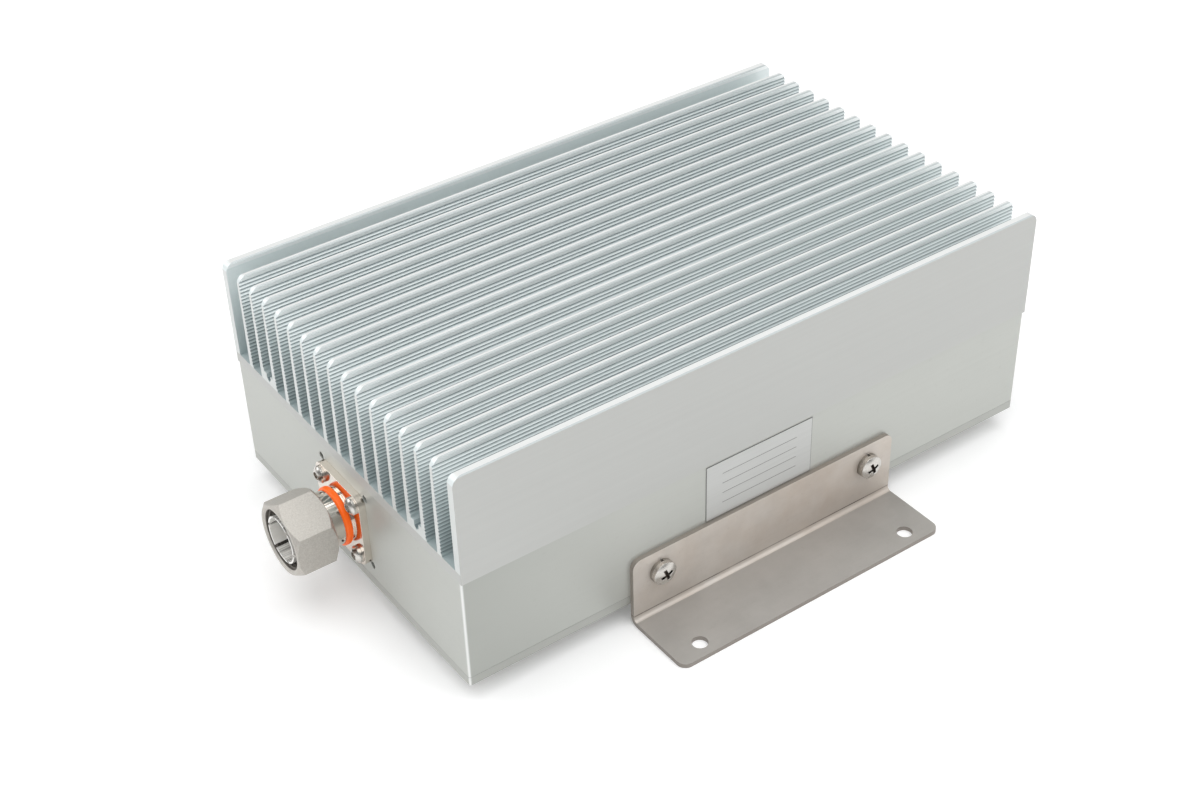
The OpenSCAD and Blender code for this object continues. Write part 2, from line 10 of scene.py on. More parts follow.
import bmesh
import bpy
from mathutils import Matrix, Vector


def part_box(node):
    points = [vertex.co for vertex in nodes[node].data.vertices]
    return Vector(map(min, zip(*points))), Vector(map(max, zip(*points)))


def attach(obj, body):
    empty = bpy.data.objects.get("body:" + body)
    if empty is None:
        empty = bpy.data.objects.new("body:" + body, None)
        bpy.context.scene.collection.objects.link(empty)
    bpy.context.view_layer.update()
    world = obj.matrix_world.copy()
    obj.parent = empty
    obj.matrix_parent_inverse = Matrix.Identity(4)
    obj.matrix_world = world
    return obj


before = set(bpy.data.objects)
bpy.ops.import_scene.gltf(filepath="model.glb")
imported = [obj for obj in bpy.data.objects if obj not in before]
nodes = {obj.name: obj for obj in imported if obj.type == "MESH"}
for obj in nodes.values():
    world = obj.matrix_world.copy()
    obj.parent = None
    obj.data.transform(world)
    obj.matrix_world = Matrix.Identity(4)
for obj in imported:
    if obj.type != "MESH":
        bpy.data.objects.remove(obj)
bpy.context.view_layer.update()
MM = 0.001

# %% [markdown]
# The camera stands high in front of the plug's corner. Its lens and angles were worked out from
# the long straight edges of the box, which meet at three vanishing points. A lens of 57 mm on a
# 36 mm sensor is close to natural perspective, and the small second angle is the camera's roll.

# %% Set up the camera
camera_data = bpy.data.cameras.new("camera")
camera_data.lens = 56.687
camera_data.sensor_width = 36
camera_data.clip_start = 0.01
camera = bpy.data.objects.new("camera", camera_data)
camera.location = (-0.28571, -0.39370, 0.38598)
camera.rotation_euler = [math.radians(a) for a in (53.0797, 1.4523, -35.7037)]
bpy.context.scene.collection.objects.link(camera)
bpy.context.scene.camera = camera
print("camera at", tuple(camera.location), "lens", round(camera_data.lens, 2))

# %% [markdown]
# The stage is a pale floor under a white room. Bare metal shows little but its surroundings, so
# the even white world that fills the shadows matters more than the lamps.

# %% Build the stage
ROOM_LIGHT = 0.26
world = bpy.data.worlds.new("white_room")
world.use_nodes = True
world.node_tree.nodes["Background"].inputs["Color"].default_value = (0.97, 0.985, 1.0, 1)
world.node_tree.nodes["Background"].inputs["Strength"].default_value = ROOM_LIGHT
bpy.context.scene.world = world
bpy.context.scene.view_settings.view_transform = "Standard"

FLOOR_HALF = 4.0
floor_mesh = bpy.data.meshes.new("floor")
shape = bmesh.new()
bmesh.ops.create_grid(shape, x_segments=1, y_segments=1, size=FLOOR_HALF)
shape.to_mesh(floor_mesh)
shape.free()
floor = bpy.data.objects.new("floor", floor_mesh)
bpy.context.scene.collection.objects.link(floor)
print("stage:", floor.name, "of", 2 * FLOOR_HALF, "m")

# %% [markdown]
# One wide lamp overhead lights the fin tips. A small one in front and a larger one past the plug
# keep the upright faces apart, and a weak one behind stands in for a white card. Each is aimed by
# turning its own minus Z axis towards a point on the part.

# %% Hang the lamps
def soft_lamp(name, place, target, size, watts):
    lamp_data = bpy.data.lights.new(name, "AREA")
    lamp_data.shape = "SQUARE"
    lamp_data.size = size
    lamp_data.energy = watts
    lamp = bpy.data.objects.new(name, lamp_data)
    lamp.location = place
    lamp.rotation_euler = (Vector(target) - Vector(place)).to_track_quat("-Z", "Y").to_euler()
    bpy.context.scene.collection.objects.link(lamp)


soft_lamp("overhead", (-0.1, -0.45, 1.8), (0, 0, 0), 2.4, 37)
soft_lamp("front_fill", (0.62, -0.62, 0.36), (0.02, -0.06, 0.03), 0.5, 1.3)
soft_lamp("end_fill", (-1.1, 1.2, 1.0), (0, 0, 0.04), 1.2, 11)
soft_lamp("back_card", (1.0, 1.2, 1.1), (0, 0, 0.04), 1.6, 3)
print("lamps:", len(bpy.data.lights))

# %% [markdown]
# Every finish below is a small tree of shader nodes. A few helpers keep the trees readable:
# one adds a node with its settings and inputs, one mixes two colours, one rescales a value, and
# one turns the familiar 0 to 255 numbers of a colour into the linear light that shaders use.
# The short ones below them make masks: over or under a limit, both at once, in a band, and the
# distance from an axis.

# %% Helpers for shader trees
def add(tree, kind, inputs=None, **settings):
    made = tree.nodes.new("ShaderNode" + kind)
    for key, value in settings.items():
        setattr(made, key, value)
    for key, value in (inputs or {}).items():
        if isinstance(value, bpy.types.NodeSocket):
            tree.links.new(value, made.inputs[key])
        else:
            made.inputs[key].default_value = value
    return made


def tint(red, green, blue):
    shares = [value / 255 for value in (red, green, blue)]
    linear = [s / 12.92 if s < 0.04045 else ((s + 0.055) / 1.055) ** 2.4 for s in shares]
    return (*linear, 1)


def mixed(tree, share, first, second):
    made = add(tree, "Mix", {0: share, 6: first, 7: second}, data_type="RGBA")
    return made.outputs[2]


def scaled(tree, value, low, high, from_low=0.0, from_high=1.0):
    made = add(tree, "MapRange", {"Value": value, "From Min": from_low, "From Max": from_high,
                                  "To Min": low, "To Max": high})
    return made.outputs[0]


def math_of(tree, operation, first, second=0.0):
    return add(tree, "Math", {0: first, 1: second}, operation=operation).outputs[0]


def over(tree, value, limit):
    return math_of(tree, "GREATER_THAN", value, limit)


def under(tree, value, limit):
    return math_of(tree, "LESS_THAN", value, limit)


def both(tree, first, second):
    return math_of(tree, "MULTIPLY", first, second)


def band(tree, value, low, high):
    return both(tree, over(tree, value, low), under(tree, value, high))


def reach(tree, first, second):
    squares = [both(tree, value, value) for value in (first, second)]
    return math_of(tree, "SQRT", math_of(tree, "ADD", *squares))


print("aluminium grey in linear light:", [round(v, 3) for v in tint(196, 198, 195)[:3]])

# %% [markdown]
# Four effects return on many of the surfaces, so each is a node group with named sockets.
# Drawn lines are the fine streaks that an extruding die or a sanding belt leaves. They are noise
# stretched far along one direction, in a coarse and a fine layer so that they look less regular.

# %% A group for drawn lines
def new_group(name, inputs, outputs):
    tree = bpy.data.node_groups.new(name, "ShaderNodeTree")
    for label, kind, start in inputs:
        tree.interface.new_socket(label, in_out="INPUT", socket_type=kind).default_value = start
    for label, kind in outputs:
        tree.interface.new_socket(label, in_out="OUTPUT", socket_type=kind)
    return tree, tree.nodes.new("NodeGroupInput"), tree.nodes.new("NodeGroupOutput")


VECTOR, VALUE = "NodeSocketVector", "NodeSocketFloat"

drawn_lines, g_in, g_out = new_group(
    "drawn_lines", [("Place", VECTOR, (0, 0, 0)), ("Stretch", VECTOR, (10, 1000, 1000))],
    [("Tone", VALUE), ("Height", VALUE)])
streaked = add(drawn_lines, "VectorMath", {0: g_in.outputs["Place"], 1: g_in.outputs["Stretch"]},
               operation="MULTIPLY").outputs[0]
coarse = add(drawn_lines, "TexNoise", {"Vector": streaked, "Scale": 0.35, "Detail": 2.0}).outputs[0]
fine = add(drawn_lines, "TexNoise", {"Vector": streaked, "Scale": 1.6, "Detail": 3.0}).outputs[0]
lines = math_of(drawn_lines, "MULTIPLY_ADD", coarse, 0.5)
drawn_lines.links.new(scaled(drawn_lines, fine, 0.0, 0.5), lines.node.inputs[2])
drawn_lines.links.new(scaled(drawn_lines, lines, 0.0, 1.0, 0.3, 0.7), g_out.inputs["Tone"])
drawn_lines.links.new(fine, g_out.inputs["Height"])
print("group:", drawn_lines.name)

# %% [markdown]
# Clouding is the slow change of tone from handling, with a few small specks. Grit is the tiny
# unevenness of a blasted or moulded skin. Both are plain noise at a size that each finish sets.

# %% Groups for clouding and grit
clouding, g_in, g_out = new_group(
    "clouding", [("Place", VECTOR, (0, 0, 0)), ("Frequency", VALUE, 40.0)],
    [("Cloud", VALUE), ("Specks", VALUE)])
cloud = add(clouding, "TexNoise", {"Vector": g_in.outputs["Place"], "Scale": g_in.outputs["Frequency"],
                                   "Detail": 4.0, "Roughness": 0.6}).outputs[0]
speck_scale = math_of(clouding, "MULTIPLY", g_in.outputs["Frequency"], 22.0)
speck = add(clouding, "TexNoise", {"Vector": g_in.outputs["Place"], "Scale": speck_scale,
                                   "Detail": 1.0}).outputs[0]
clouding.links.new(scaled(clouding, cloud, 0.0, 1.0, 0.3, 0.7), g_out.inputs["Cloud"])
clouding.links.new(scaled(clouding, speck, 0.0, 1.0, 0.66, 0.78), g_out.inputs["Specks"])

grit, g_in, g_out = new_group(
    "grit", [("Place", VECTOR, (0, 0, 0)), ("Frequency", VALUE, 4000.0)],
    [("Tone", VALUE), ("Height", VALUE)])
grain = add(grit, "TexNoise", {"Vector": g_in.outputs["Place"], "Scale": g_in.outputs["Frequency"],
                               "Detail": 3.0, "Roughness": 0.65}).outputs[0]
grit.links.new(scaled(grit, grain, 0.0, 1.0, 0.25, 0.75), g_out.inputs["Tone"])
grit.links.new(grain, g_out.inputs["Height"])
print("groups:", clouding.name, "and", grit.name)

# %% [markdown]
# An edge group finds the corners with a bevel node, rounds their normal and tells where they are,
# by comparing the rounded normal with the straight one. Where a finish lightens the edges it finds,
# that is partly wear and partly painted highlight. The solids themselves stay as they are.

# %% A group for worn and highlit edges
worn_and_highlit_edge, g_in, g_out = new_group(
    "worn_and_highlit_edge", [("Radius", VALUE, 0.0004)], [("Edge", VALUE), ("Normal", VECTOR)])
rounded = add(worn_and_highlit_edge, "Bevel", {"Radius": g_in.outputs["Radius"]}, samples=6).outputs[0]
straight = add(worn_and_highlit_edge, "NewGeometry").outputs["Normal"]
facing = add(worn_and_highlit_edge, "VectorMath", {0: rounded, 1: straight},
             operation="DOT_PRODUCT").outputs["Value"]
worn_and_highlit_edge.links.new(scaled(worn_and_highlit_edge, facing, 1.0, 0.0, 0.72, 0.985), g_out.inputs["Edge"])
worn_and_highlit_edge.links.new(rounded, g_out.inputs["Normal"])
print("shared effects:", sorted(tree.name for tree in bpy.data.node_groups))

# %% [markdown]
# A finish starts the same way each time: a material with its shader, the place on the object and
# the groups that it asks for. Object coordinates are the part's own metres, so a streak keeps
# its size from piece to piece. Numbers that stay the same all over go on the shader's own sockets.

# %% Helpers for finishes
def start_finish(name, metallic=0.0, roughness=0.5, **sockets):
    material = bpy.data.materials.new(name)
    material.use_nodes = True
    tree = material.node_tree
    shader = tree.nodes["Principled BSDF"]
    shader.inputs["Metallic"].default_value = metallic
    shader.inputs["Roughness"].default_value = roughness
    for label, value in sockets.items():
        shader.inputs[label.replace("_", " ")].default_value = value
    place = add(tree, "TexCoord").outputs["Object"]
    return material, tree, shader, place


def use(tree, group, **inputs):
    made = add(tree, "Group", node_tree=group)
    for label, value in inputs.items():
        if isinstance(value, bpy.types.NodeSocket):
            tree.links.new(value, made.inputs[label])
        else:
            made.inputs[label].default_value = value
    return made.outputs


def bumped(tree, height, strength, distance, normal=None):
    made = add(tree, "Bump", {"Height": height, "Strength": strength, "Distance": distance})
    if normal is not None:
        tree.links.new(normal, made.inputs["Normal"])
    return made.outputs[0]


def wire(tree, shader, colour, rough, normal):
    for label, value in (("Base Color", colour), ("Roughness", rough), ("Normal", normal)):
        tree.links.new(value, shader.inputs[label])


def axes_of(tree, vector):
    return add(tree, "SeparateXYZ", {0: vector}).outputs


def face_directions(tree):
    return axes_of(tree, add(tree, "NewGeometry").outputs["True Normal"])


def dress(names, material):
    for name in names:
        slots = nodes[name].material_slots
        for slot in slots:
            slot.material = material
        if not slots:
            nodes[name].data.materials.append(material)
    print(material.name, "on", ", ".join(names))


print("pieces to dress:", len(nodes))

# %% [markdown]
# The heat sink is one aluminium extrusion, and its colour changes from place to place: a painted
# highlight on the tips and on the plain strips under them, painted shade on the chamfers, in the
# grooves between the teeth and down the channels, and sawn ends. Each place is found by its
# height, its side or the way its face points, because a solid from CAD has no painted map. The
# teeth repeat, so the fraction of a pitch finds a groove.

# %% Find the places on the heat sink
sink_low, sink_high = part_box("heat_sink")
BASE_T, FIN_CORNER, CHAMFER = 3.6 * MM, 3 * MM, 0.4 * MM
TOOTH_TOP, TOOTH_PITCH = 1.6 * MM, 1.22 * MM
BRIGHT_TOP, FLUSH = 8 * MM, 0.05 * MM
extruded, tree, shader, place = start_finish("extruded_aluminium", metallic=0.3, roughness=0.42)
axes, faces = axes_of(tree, place), face_directions(tree)
along, across = (math_of(tree, "ABSOLUTE", axes[axis]) for axis in "XY")
floor_z, teeth_z = sink_low.z + BASE_T, sink_high.z - TOOTH_TOP
sanded = over(tree, across, sink_high.y - FLUSH)
ends = over(tree, along, sink_high.x - FLUSH)
base_end = both(tree, ends, under(tree, axes["Z"], floor_z))
# painted highlight on the up-facing fin tips
lit_tips = both(tree, over(tree, axes["Z"], sink_high.z - FIN_CORNER),
            scaled(tree, faces["Z"], 0.0, 1.0, 0.8, 0.97))
sloped = band(tree, faces["Z"], 0.5, 0.85)
# painted shade on the sloped chamfers at the fin tips
shaded_chamfers = both(tree, sloped, over(tree, axes["Z"], sink_high.z - CHAMFER * 1.1))
# painted light on the plain strip at the top of each fin face
lit_strip = both(tree, over(tree, axes["Z"], teeth_z), under(tree, faces["Z"], 0.3))
teeth = both(tree, both(tree, sloped, under(tree, axes["Z"], teeth_z)), under(tree, faces["Y"], -0.4))
step = math_of(tree, "DIVIDE", math_of(tree, "SUBTRACT", teeth_z, axes["Z"]), TOOTH_PITCH)
# painted shade in the grooves between the teeth
groove_shade = both(tree, teeth, scaled(tree, math_of(tree, "FRACT", step), 1.0, 0.0, 0.5, 0.9))
# painted shade, darker down the channels towards the fin floor
channel_shade = scaled(tree, axes["Z"], 1.0, 0.0, floor_z, sink_high.z - BRIGHT_TOP)
print("fins from", round(floor_z, 4), "to", round(sink_high.z, 4))

# %% [markdown]
# The finish is a clear satin anodising: cool grey, matt, with streaks along the fins where the
# die dragged. The two outer sides were sanded flush with the box, so they share its greyer look.
# The coats are mixed from the widest place to the smallest, so that a tip ends up on top.

# %% Extruded aluminium for the heat sink
streaks = use(tree, drawn_lines, Place=place, Stretch=(6, 1500, 1500))
clouds = use(tree, clouding, Place=place, Frequency=28.0)
body = mixed(tree, streaks["Tone"], tint(226, 234, 234), tint(232, 239, 239))
flush = mixed(tree, streaks["Tone"], tint(186, 187, 184), tint(191, 192, 189))
flush_sides = math_of(tree, "MAXIMUM", sanded, base_end)
# the coats for the channels, strips, grooves, chamfers and tips are painted shade and light
for mask, share, coat in ((clouds["Cloud"], 0.3, tint(234, 239, 239)), (channel_shade, 0.9, tint(184, 196, 197)),
                          (lit_strip, 0.9, tint(248, 251, 251)), (ends, 0.8, tint(216, 218, 216)),
                          (flush_sides, 1.0, flush), (groove_shade, 0.85, tint(122, 136, 140)),
                          (shaded_chamfers, 0.8, tint(188, 194, 194)), (lit_tips, 0.8, tint(238, 238, 236))):
    body = mixed(tree, scaled(tree, mask, 0.0, share), body, coat)
wire(tree, shader, body,
     scaled(tree, streaks["Tone"], 0.38, 0.48),
     bumped(tree, streaks["Height"], 0.03, 0.02 * MM))
dress(["heat_sink"], extruded)

# %% [markdown]
# The box below is milled from plate and left bare, so it is a little warmer and darker. The belt
# marks run level round all four sides, which is why both flat directions are stretched. The
# upright corners carry a painted highlight, the long sides darken towards the plug as painted
# shade, and a thin dark line is the seam where the cover meets the box.

# %% Machined aluminium for the box
box_low, box_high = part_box("housing")
CORNER_R, SEAM_HALF, PLUG_SHADE_TO = 0.8 * MM, 0.08 * MM, -48 * MM
machined, tree, shader, place = start_finish("machined_aluminium", metallic=0.6, roughness=0.42)
streaks = use(tree, drawn_lines, Place=place, Stretch=(9, 9, 2400))
clouds = use(tree, clouding, Place=place, Frequency=24.0)
edges = use(tree, worn_and_highlit_edge, Radius=0.3 * MM)
axes = axes_of(tree, place)
along, across = (math_of(tree, "ABSOLUTE", axes[axis]) for axis in "XY")
# painted highlight on the rounded upright corners
corner_highlight = both(tree, scaled(tree, along, 0.0, 1.0, box_high.x - CORNER_R, box_high.x - 0.3 * CORNER_R),
              scaled(tree, across, 0.0, 1.0, box_high.y - CORNER_R, box_high.y - 0.3 * CORNER_R))
seam = band(tree, axes["Z"], box_low.z - SEAM_HALF, box_low.z + SEAM_HALF)
long_side = over(tree, across, box_high.y - FLUSH)
# painted shade: the long sides darken towards the plug end
plug_end_shade = both(tree, long_side, scaled(tree, axes["X"], 1.0, 0.0, box_low.x, PLUG_SHADE_TO))
below = under(tree, axes["Z"], box_low.z)
body = mixed(tree, streaks["Tone"], tint(186, 188, 183), tint(193, 195, 190))
body = mixed(tree, scaled(tree, clouds["Cloud"], 0.0, 0.4), body, tint(194, 195, 190))
body = mixed(tree, scaled(tree, clouds["Specks"], 0.0, 0.15), body, tint(168, 168, 162))
body = mixed(tree, scaled(tree, plug_end_shade, 0.0, 0.8), body, tint(164, 166, 161))
body = mixed(tree, scaled(tree, below, 0.0, 0.5), body, tint(168, 169, 164))
# edges lightened, partly as wear and partly as painted highlight
body = mixed(tree, scaled(tree, edges["Edge"], 0.0, 0.5), body, tint(232, 234, 231))
body = mixed(tree, scaled(tree, corner_highlight, 0.0, 0.8), body, tint(246, 247, 246))
body = mixed(tree, scaled(tree, seam, 0.0, 0.6), body, tint(96, 97, 93))
wire(tree, shader, body,
     scaled(tree, streaks["Tone"], 0.38, 0.5),
     bumped(tree, streaks["Height"], 0.08, 0.02 * MM, edges["Normal"]))
dress(["housing", "base_cover", "cable_clamps"], machined)

# %% [markdown]
# The brackets are bent from stainless sheet. It is darker and warmer than the aluminium, with a
# cloudy brown cast from rolling, greyer on the foot. The leg is painted lighter than the foot as
# painted light, the cut rims are darker as painted shade, and a thin dark line, broken in places,
# runs where the bend begins. Heights and face directions find all of these on the solid itself,
# so no map has to be painted.

# %% Stainless sheet for the brackets
SHEET_T, BEND_R = 1.5 * MM, 1.5 * MM
CREASE_DOWN, CREASE_UP, LEG_SLACK = 0.05 * MM, 0.35 * MM, 0.1 * MM
bend_line = SHEET_T + BEND_R
leg_face = SHEET_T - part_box("front_bracket")[1].y
stainless, tree, shader, place = start_finish("stainless_sheet", metallic=0.55, roughness=0.52)
streaks = use(tree, drawn_lines, Place=place, Stretch=(30, 700, 700))
clouds = use(tree, clouding, Place=place, Frequency=38.0)
blotches = use(tree, clouding, Place=place, Frequency=95.0)
axes = axes_of(tree, place)
faces = face_directions(tree)
lean = {axis: math_of(tree, "ABSOLUTE", faces[axis]) for axis in "XYZ"}
on_foot = under(tree, axes["Z"], SHEET_T * 1.01)
foot_rim = both(tree, on_foot, under(tree, lean["Z"], 0.5))
leg_rim = both(tree, over(tree, axes["Z"], bend_line), under(tree, lean["Y"], 0.5))
end_rim = over(tree, lean["X"], 0.7)
# painted shade on the cut rims
shaded_rims = math_of(tree, "MAXIMUM", end_rim, math_of(tree, "MAXIMUM", foot_rim, leg_rim))
outward = math_of(tree, "ABSOLUTE", axes["Y"])
on_leg = under(tree, outward, leg_face + LEG_SLACK)
crease = both(tree, band(tree, axes["Z"], bend_line - CREASE_DOWN, bend_line + CREASE_UP), on_leg)
# painted light: the upright leg is painted lighter than the foot
lit_leg_tone = mixed(tree, streaks["Tone"], tint(214, 207, 199), tint(220, 214, 207))
shaded_foot_tone = mixed(tree, streaks["Tone"], tint(176, 173, 168), tint(181, 178, 174))
body = mixed(tree, on_foot, lit_leg_tone, shaded_foot_tone)
rolled = mixed(tree, on_foot, tint(182, 166, 151), tint(166, 161, 156))
body = mixed(tree, scaled(tree, clouds["Cloud"], 0.0, 0.65), body, rolled)
body = mixed(tree, scaled(tree, blotches["Cloud"], 0.0, 0.4), body, tint(192, 188, 183))
body = mixed(tree, scaled(tree, clouds["Specks"], 0.0, 0.1), body, tint(150, 139, 128))
body = mixed(tree, scaled(tree, shaded_rims, 0.0, 0.6), body, tint(124, 115, 106))
# a thin dark line where the bend begins, broken up by the blotches
patchy_crease = both(tree, crease, scaled(tree, blotches["Cloud"], 0.25, 0.8))
body = mixed(tree, patchy_crease, body, tint(78, 70, 63))
wire(tree, shader, body,
     scaled(tree, clouds["Cloud"], 0.46, 0.6),
     bumped(tree, streaks["Height"], 0.04, 0.02 * MM))
dress(["front_bracket", "rear_bracket"], stainless)

# %% [markdown]
# The plug's flange and neck have a bright white-bronze plating that mirrors its surroundings.
# A full metal with little roughness does most of the work, and faint clouds keep it from looking
# like chrome.

# %% Polished plating for the flange and neck
polished, tree, shader, place = start_finish("polished_plating", metallic=1.0, roughness=0.12)
clouds = use(tree, clouding, Place=place, Frequency=160.0)
edges = use(tree, worn_and_highlit_edge, Radius=0.2 * MM)
body = mixed(tree, clouds["Cloud"], tint(212, 203, 193), tint(226, 218, 208))
body = mixed(tree, scaled(tree, clouds["Specks"], 0.0, 0.3), body, tint(150, 142, 132))
wire(tree, shader, body,
     scaled(tree, clouds["Cloud"], 0.08, 0.18),
     bumped(tree, clouds["Cloud"], 0.05, 0.05 * MM, edges["Normal"]))
dress(["connector_body"], polished)

# %% [markdown]
# The nut has the same plating over a blasted skin, so it is matt and grainy, with its corners
# lightened partly as wear and partly as painted highlight. Its threaded bore is painted dark as
# shade. A material of its own would need faces of its own there, so the bore is found by the
# distance from the nut's axis instead.

# %% Matt plating for the nut
matt, tree, shader, place = start_finish("matt_plating", metallic=0.85, roughness=0.6)
grains = use(tree, grit, Place=place, Frequency=2600.0)
clouds = use(tree, clouding, Place=place, Frequency=90.0)
edges = use(tree, worn_and_highlit_edge, Radius=0.35 * MM)
nut_low, nut_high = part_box("coupling_nut")
axis_z = (nut_low.z + nut_high.z) / 2
BORE_R = 9.6 * MM
axes = axes_of(tree, place)
upward = math_of(tree, "SUBTRACT", axes["Z"], axis_z)
# painted shade: the threaded bore inside the nut is darkened
bore_shade = under(tree, reach(tree, upward, axes["Y"]), BORE_R)
body = mixed(tree, grains["Tone"], tint(174, 169, 162), tint(215, 212, 206))
body = mixed(tree, scaled(tree, clouds["Cloud"], 0.0, 0.3), body, tint(202, 196, 188))
# corners lightened, partly as wear and partly as painted highlight
body = mixed(tree, scaled(tree, edges["Edge"], 0.0, 0.5), body, tint(236, 232, 226))
body = mixed(tree, scaled(tree, bore_shade, 0.0, 0.75), body, tint(74, 68, 62))
wire(tree, shader, body,
     scaled(tree, grains["Tone"], 0.5, 0.7),
     bumped(tree, grains["Height"], 0.4, 0.1 * MM, edges["Normal"]))
dress(["coupling_nut"], matt)

# %% [markdown]
# The contact pieces inside are the brightest. Streaks along the axis are painted reflections,
# darkest towards the top and the foot of the sleeve. They are given less metal than real plating
# has, because a mirror inside the nut would find little but the dark.

# %% Bright plating for the contacts
REFLECTIONS_FROM, REFLECTIONS_FULL = 4.6 * MM, 6.4 * MM
contact, tree, shader, place = start_finish("bright_contact", metallic=0.25, roughness=0.2)
reflection_streaks = use(tree, drawn_lines, Place=place, Stretch=(40, 2400, 2400))
axes = axes_of(tree, place)
from_middle = math_of(tree, "ABSOLUTE", math_of(tree, "SUBTRACT", axes["Z"], axis_z))
# painted reflection: dark streaks along the axis towards the top and foot of the sleeve
painted_reflection = both(tree, scaled(tree, from_middle, 0.0, 1.0, REFLECTIONS_FROM, REFLECTIONS_FULL),
              scaled(tree, reflection_streaks["Tone"], 1.0, 0.0, 0.35, 0.6))
edges = use(tree, worn_and_highlit_edge, Radius=0.12 * MM)
body = mixed(tree, reflection_streaks["Tone"], tint(238, 235, 230), tint(248, 247, 243))
body = mixed(tree, scaled(tree, painted_reflection, 0.0, 0.6), body, tint(62, 58, 54))
# edges lightened, partly as wear and partly as painted highlight
body = mixed(tree, scaled(tree, edges["Edge"], 0.0, 0.5), body, tint(248, 247, 244))
wire(tree, shader, body,
     scaled(tree, reflection_streaks["Tone"], 0.12, 0.24),
     edges["Normal"])
dress(["contact_sleeve", "centre_pin"], contact)

# %% [markdown]
# Screws are bright passivated steel. The cross recesses of the bracket screws are painted dark as
# shade, found by the distance from each screw's axis and the depth below its crown.

# %% Steel for the screws
screw_steel, tree, shader, place = start_finish("screw_steel", metallic=1.0, roughness=0.26)
clouds = use(tree, clouding, Place=place, Frequency=260.0)
edges = use(tree, worn_and_highlit_edge, Radius=0.18 * MM)
body = mixed(tree, clouds["Cloud"], tint(198, 194, 188), tint(216, 213, 208))
body = mixed(tree, scaled(tree, clouds["Specks"], 0.0, 0.3), body, tint(140, 134, 128))
# edges lightened, partly as wear and partly as painted highlight
body = mixed(tree, scaled(tree, edges["Edge"], 0.0, 0.4), body, tint(238, 236, 233))
axes = axes_of(tree, place)
screw_low, screw_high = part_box("front_bracket_screws")
RECESS_R, RECESS_IN = 2.3 * MM, 0.35 * MM
sideways = math_of(tree, "SUBTRACT", math_of(tree, "ABSOLUTE", axes["X"]),
                   screw_high.x - (screw_high.z - screw_low.z) / 2)
upward = math_of(tree, "SUBTRACT", axes["Z"], (screw_low.z + screw_high.z) / 2)
outward = math_of(tree, "ABSOLUTE", axes["Y"])
# painted shade in the cross recesses
recess_shade = both(tree, under(tree, reach(tree, sideways, upward), RECESS_R),
            band(tree, outward, leg_face, -screw_low.y - RECESS_IN))
body = mixed(tree, scaled(tree, recess_shade, 0.0, 0.75), body, tint(70, 54, 43))
wire(tree, shader, body,
     scaled(tree, clouds["Cloud"], 0.2, 0.34),
     edges["Normal"])
dress([name for name in sorted(nodes) if name.endswith("_screws")], screw_steel)

# %% [markdown]
# The split washers and the ring that keeps the nut on its neck are spring steel. They could share
# the screws' finish, but a darker and duller one keeps a washer apart from the head above it.

# %% Steel for the springs
spring_steel, tree, shader, place = start_finish("spring_steel", metallic=1.0, roughness=0.34)
clouds = use(tree, clouding, Place=place, Frequency=300.0)
edges = use(tree, worn_and_highlit_edge, Radius=0.15 * MM)
body = mixed(tree, clouds["Cloud"], tint(150, 145, 138), tint(172, 167, 160))
# edges lightened, partly as wear and partly as painted highlight
body = mixed(tree, scaled(tree, edges["Edge"], 0.0, 0.4), body, tint(210, 206, 200))
wire(tree, shader, body,
     scaled(tree, clouds["Cloud"], 0.28, 0.4),
     edges["Normal"])
dress(["nut_retaining_ring", "front_bracket_washers", "rear_bracket_washers"], spring_steel)

# %% [markdown]
# The weather seal is soft orange silicone, moulded and slightly waxy. Light enters a little way
# before it comes back, so a touch of subsurface keeps the ring from looking painted, and a little
# emission is painted light that makes the ring glow brighter than plain colour can.

# %% Silicone for the weather seal
# painted light: a weak orange glow on the seal
silicone, tree, shader, place = start_finish(
    "orange_silicone", roughness=0.42, Subsurface_Weight=0.12, Subsurface_Radius=(0.002, 0.0006, 0.0002),
    Emission_Strength=0.16, Emission_Color=tint(255, 96, 0))
grains = use(tree, grit, Place=place, Frequency=1500.0)
body = mixed(tree, grains["Tone"], tint(252, 96, 4), tint(255, 116, 14))
wire(tree, shader, body,
     scaled(tree, grains["Tone"], 0.34, 0.5),
     bumped(tree, grains["Height"], 0.1, 0.03 * MM))
dress(["weather_seal"], silicone)

# %% [markdown]
# The gasket, the bead that carries the pin and the resistor's block hardly show. They are moulded
# or fired, so a fine grit is enough for all three, and only the ceramic's corners are rounded.

# %% Rubber, plastic and ceramic
rubber, tree, shader, place = start_finish("dark_rubber", roughness=0.7)
grains = use(tree, grit, Place=place, Frequency=2400.0)
wire(tree, shader, mixed(tree, grains["Tone"], tint(38, 38, 38), tint(58, 57, 56)),
     scaled(tree, grains["Tone"], 0.6, 0.8),
     bumped(tree, grains["Height"], 0.2, 0.04 * MM))
dress(["flange_gasket"], rubber)

plastic, tree, shader, place = start_finish("white_plastic", roughness=0.45)
grains = use(tree, grit, Place=place, Frequency=1800.0)
wire(tree, shader, mixed(tree, grains["Tone"], tint(228, 226, 220), tint(241, 240, 236)),
     scaled(tree, grains["Tone"], 0.4, 0.55),
     bumped(tree, grains["Height"], 0.08, 0.03 * MM))
dress(["insulator"], plastic)

ceramic, tree, shader, place = start_finish("white_ceramic", roughness=0.5)
grains = use(tree, grit, Place=place, Frequency=1200.0)
edges = use(tree, worn_and_highlit_edge, Radius=0.2 * MM)
wire(tree, shader, mixed(tree, grains["Tone"], tint(214, 210, 202), tint(236, 233, 227)),
     scaled(tree, grains["Tone"], 0.42, 0.6),
     bumped(tree, grains["Height"], 0.15, 0.04 * MM, edges["Normal"]))
dress(["end_resistor"], ceramic)

# %% [markdown]
# The lossy cable has a bare copper-coloured tube, dull from handling, with darker specks. Its layers
# never show, so one finish over the whole rod is enough.

